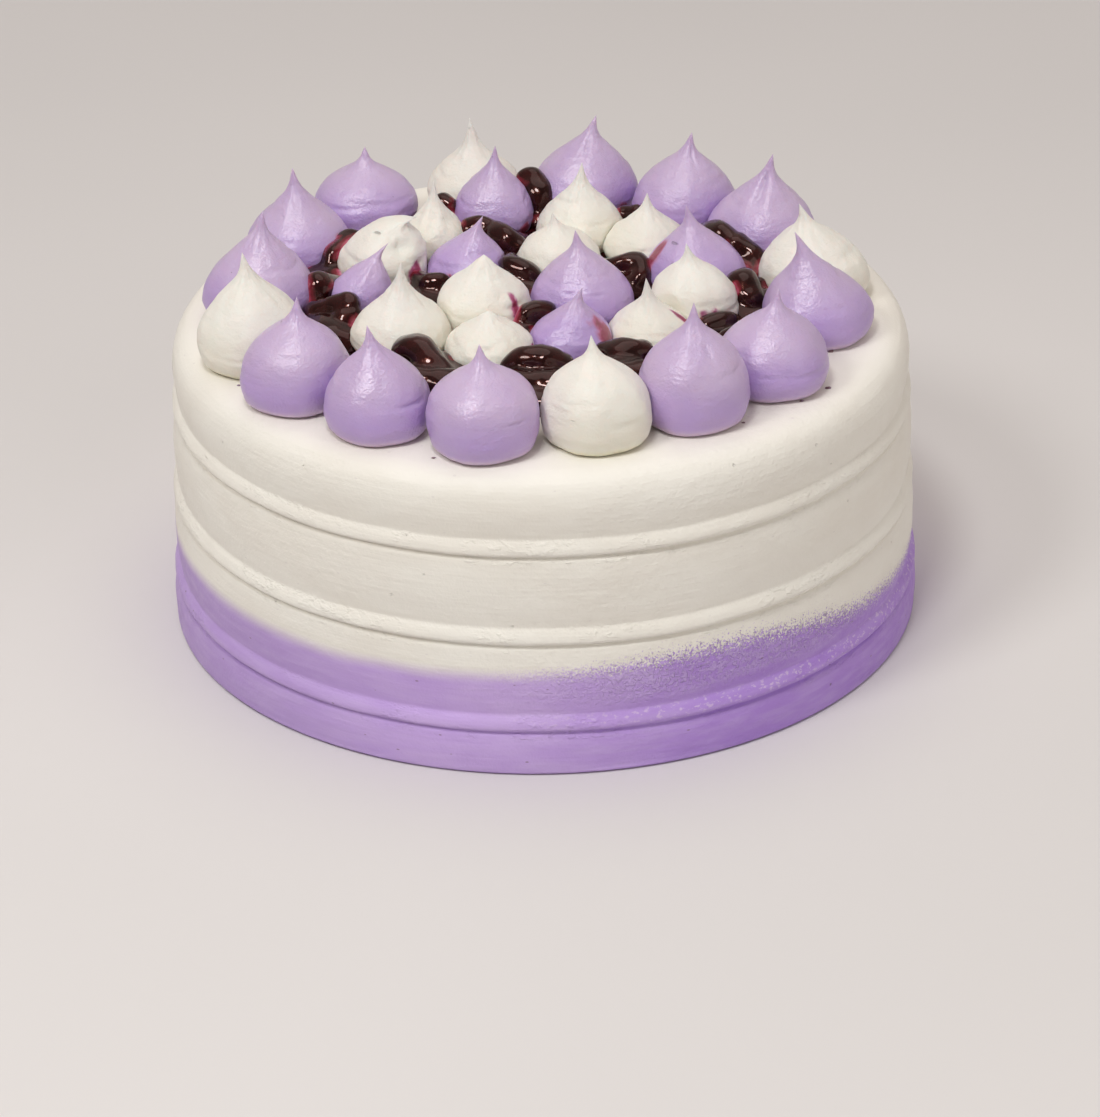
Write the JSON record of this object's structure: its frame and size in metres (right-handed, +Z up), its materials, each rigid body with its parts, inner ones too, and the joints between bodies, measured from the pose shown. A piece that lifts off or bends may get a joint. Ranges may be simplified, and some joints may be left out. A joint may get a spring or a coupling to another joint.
{
  "type": "blueberry cake",
  "caption": "Round iced cake with combed buttercream sides, piped buttercream kisses over its top and blueberry compote in the gaps between them.",
  "frame": {"origin": "centre of the cake's flat base", "axes": "+Z up, -Y towards the side that the picture shows, +X to its right"},
  "size_m": [0.2216, 0.2216, 0.1263],
  "materials": {
    "cake_icing": "soft satin buttercream, warm white, purple round its foot",
    "buttercream_white": "soft satin buttercream, creamy white",
    "buttercream_lilac": "soft satin buttercream, lilac",
    "blueberry_compote": "wet, glossy, very dark purple"
  },
  "bodies": {
    "root": {"cake_body": "cake_icing", "kiss_ring_01": "buttercream_lilac", "kiss_ring_02": "buttercream_white", "kiss_ring_03": "buttercream_lilac", "kiss_ring_04": "buttercream_lilac", "kiss_ring_05": "buttercream_lilac", "kiss_ring_06": "buttercream_white", "kiss_ring_07": "buttercream_lilac", "kiss_ring_08": "buttercream_lilac", "kiss_ring_09": "buttercream_lilac", "kiss_ring_10": "buttercream_white", "kiss_ring_11": "buttercream_lilac", "kiss_ring_12": "buttercream_lilac", "kiss_ring_13": "buttercream_lilac", "kiss_ring_14": "buttercream_white", "kiss_ring_15": "buttercream_lilac", "kiss_ring_16": "buttercream_lilac", "kiss_inner_01": "buttercream_lilac", "kiss_inner_02": "buttercream_white", "kiss_inner_03": "buttercream_white", "kiss_inner_04": "buttercream_white", "kiss_inner_05": "buttercream_lilac", "kiss_inner_06": "buttercream_white", "kiss_inner_07": "buttercream_white", "kiss_inner_08": "buttercream_lilac", "kiss_inner_09": "buttercream_white", "kiss_inner_10": "buttercream_lilac", "kiss_inner_11": "buttercream_white", "kiss_inner_12": "buttercream_lilac", "kiss_inner_13": "buttercream_white", "kiss_inner_14": "buttercream_lilac", "kiss_inner_15": "buttercream_white", "kiss_inner_16": "buttercream_white", "compote_01": "blueberry_compote", "compote_02": "blueberry_compote", "compote_03": "blueberry_compote", "compote_04": "blueberry_compote", "compote_05": "blueberry_compote", "compote_06": "blueberry_compote", "compote_07": "blueberry_compote", "compote_08": "blueberry_compote", "compote_09": "blueberry_compote", "compote_10": "blueberry_compote", "compote_11": "blueberry_compote", "compote_12": "blueberry_compote", "compote_13": "blueberry_compote", "compote_14": "blueberry_compote", "compote_15": "blueberry_compote", "compote_16": "blueberry_compote", "compote_17": "blueberry_compote"}
  },
  "joints": []
}
